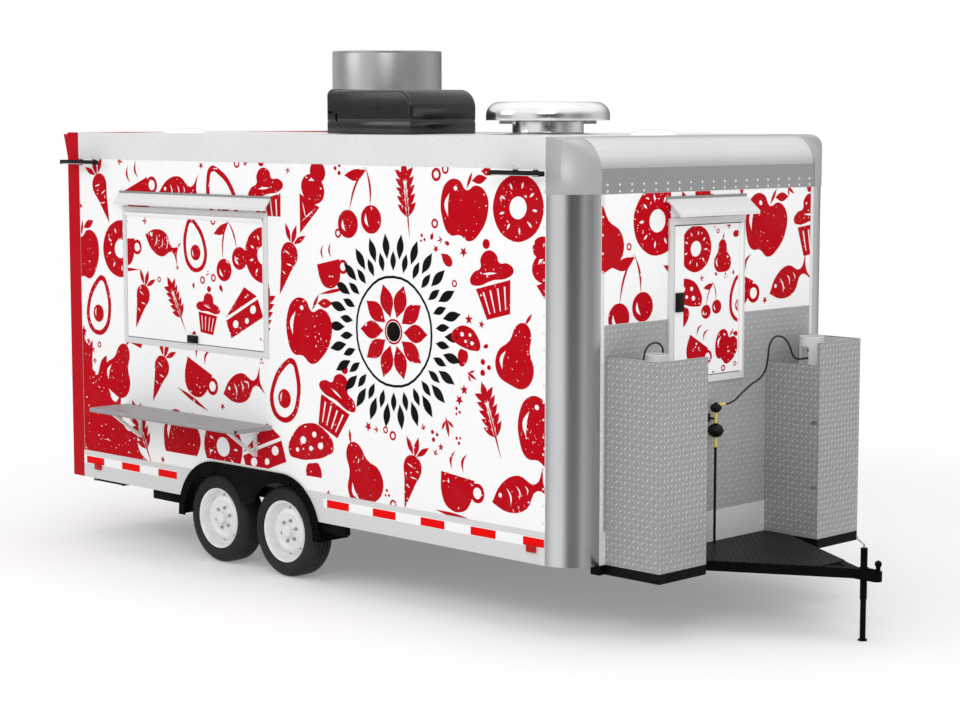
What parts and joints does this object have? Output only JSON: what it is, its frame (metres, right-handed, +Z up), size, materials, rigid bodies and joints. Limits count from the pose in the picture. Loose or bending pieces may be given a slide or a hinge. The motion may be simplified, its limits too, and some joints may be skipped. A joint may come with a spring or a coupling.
{
  "type": "food trailer",
  "caption": "Tandem-axle food trailer with a serving hatch and shelf, roof exhaust and cooler, gas bottles on the drawbar, front hatch and rear door, parked on its jack.",
  "frame": {"origin": "on the ground, at the centre of the underside of the jack's foot", "axes": "+X forwards, towards the coupler; +Y to the trailer's left, away from the serving side; +Z up"},
  "size_m": [6.174, 2.766, 3.4403],
  "materials": {
    "floor": "sealed ply underside",
    "black_steel": "satin black paint",
    "zinc": "zinc plated",
    "diamond_plate": "chequer plate",
    "bottle_paint": "satin silver white paint",
    "regulator": "brass and black fittings",
    "hose": "matt",
    "white_skin": "white skin with a printed red pattern outside",
    "pale_trim": "satin grey-white",
    "shelf_metal": "dull sheet metal",
    "black_plastic": "matt black",
    "brushed_aluminium": "brushed",
    "red_paint": "gloss red",
    "fender_plate": "black chequer plate",
    "tyre": "rubber",
    "wheel_paint": "white gloss",
    "gloss_black": "gloss black moulding",
    "bright_metal": "bright stainless steel"
  },
  "bodies": {
    "trailer": {"floor_pan": "floor", "chassis_rail_left": "black_steel", "chassis_rail_right": "black_steel", "drawbar_rail_left": "black_steel", "drawbar_rail_right": "black_steel", "drawbar_deck": "black_steel", "coupler": "black_steel", "jack_tube": "black_steel", "gas_box_left": "diamond_plate", "gas_box_right": "diamond_plate", "gas_bottle_left": "bottle_paint", "gas_bottle_right": "bottle_paint", "gas_regulator": "regulator", "gas_hose_left": "hose", "gas_hose_right": "hose", "left_wall": "white_skin", "right_wall": "white_skin", "serving_hatch_frame": "pale_trim", "serving_drip_cap": "pale_trim", "serving_shelf": "shelf_metal", "side_top_rail_left": "pale_trim", "side_top_rail_right": "pale_trim", "flood_light_rear": "black_plastic", "flood_light_front": "black_plastic", "front_wall": "white_skin", "front_hatch_frame": "pale_trim", "front_drip_cap": "pale_trim", "front_corner_post_left": "brushed_aluminium", "front_corner_post_right": "brushed_aluminium", "front_corner_cap_left": "brushed_aluminium", "front_corner_cap_right": "brushed_aluminium", "front_top_rail": "brushed_aluminium", "roof": "white_skin", "rear_hoop": "red_paint", "rear_wall": "white_skin", "fender_left": "fender_plate", "fender_right": "fender_plate", "axle_rear": "black_steel", "axle_front": "black_steel", "springs_left": "black_steel", "springs_right": "black_steel", "roof_air_conditioner": "gloss_black", "exhaust_cylinder": "bright_metal", "roof_ventilator": "bright_metal"},
    "jack_leg": {"jack_leg": "zinc"},
    "serving_hatch_door": {"serving_hatch_door": "white_skin"},
    "front_hatch_door": {"front_hatch_door": "white_skin"},
    "rear_door": {"rear_door": "white_skin"},
    "stabiliser_left": {"stabiliser_left": "black_steel"},
    "stabiliser_right": {"stabiliser_right": "black_steel"},
    "exhaust_fan": {"exhaust_fan": "bright_metal"},
    "wheel_rear_left": {"tyre_rear_left": "tyre", "rim_rear_left": "wheel_paint"},
    "wheel_front_left": {"tyre_front_left": "tyre", "rim_front_left": "wheel_paint"},
    "wheel_rear_right": {"tyre_rear_right": "tyre", "rim_rear_right": "wheel_paint"},
    "wheel_front_right": {"tyre_front_right": "tyre", "rim_front_right": "wheel_paint"}
  },
  "joints": [
    {"name": "serving_hatch_hinge", "type": "hinge", "parent": "trailer", "child": "serving_hatch_door", "pos_m": [-4.585, -1.238, 2.32], "axis": [-1, 0, 0], "range_deg": [0, 90]},
    {"name": "front_hatch_hinge", "type": "hinge", "parent": "trailer", "child": "front_hatch_door", "pos_m": [-1.103, 0.249, 1.895], "axis": [0, 0, 1], "range_deg": [0, 100]},
    {"name": "rear_door_hinge", "type": "hinge", "parent": "trailer", "child": "rear_door", "pos_m": [-6.017, 0.429, 1.6], "axis": [0, 0, -1], "range_deg": [0, 160]},
    {"name": "jack_leg_slide", "type": "slide", "parent": "trailer", "child": "jack_leg", "axis": [0, 0, 1], "range_m": [0, 0.2]},
    {"name": "stabiliser_left_hinge", "type": "hinge", "parent": "trailer", "child": "stabiliser_left", "pos_m": [-5.91, 1.08, 0.384], "axis": [0, 1, 0], "range_deg": [0, 90]},
    {"name": "stabiliser_right_hinge", "type": "hinge", "parent": "trailer", "child": "stabiliser_right", "pos_m": [-5.91, -1.08, 0.384], "axis": [0, 1, 0], "range_deg": [0, 90]},
    {"name": "exhaust_fan_spin", "type": "hinge", "parent": "trailer", "child": "exhaust_fan", "pos_m": [-4.443, 0.42, 3.13], "axis": [0, 0, 1], "continuous": true},
    {"name": "wheel_rear_left_spin", "type": "hinge", "parent": "trailer", "child": "wheel_rear_left", "pos_m": [-4.378, 1.116, 0.29955], "axis": [0, 1, 0], "continuous": true},
    {"name": "wheel_front_left_spin", "type": "hinge", "parent": "trailer", "child": "wheel_front_left", "pos_m": [-3.694, 1.116, 0.29955], "axis": [0, 1, 0], "continuous": true},
    {"name": "wheel_rear_right_spin", "type": "hinge", "parent": "trailer", "child": "wheel_rear_right", "pos_m": [-4.378, -1.116, 0.29955], "axis": [0, 1, 0], "continuous": true},
    {"name": "wheel_front_right_spin", "type": "hinge", "parent": "trailer", "child": "wheel_front_right", "pos_m": [-3.694, -1.116, 0.29955], "axis": [0, 1, 0], "continuous": true}
  ]
}
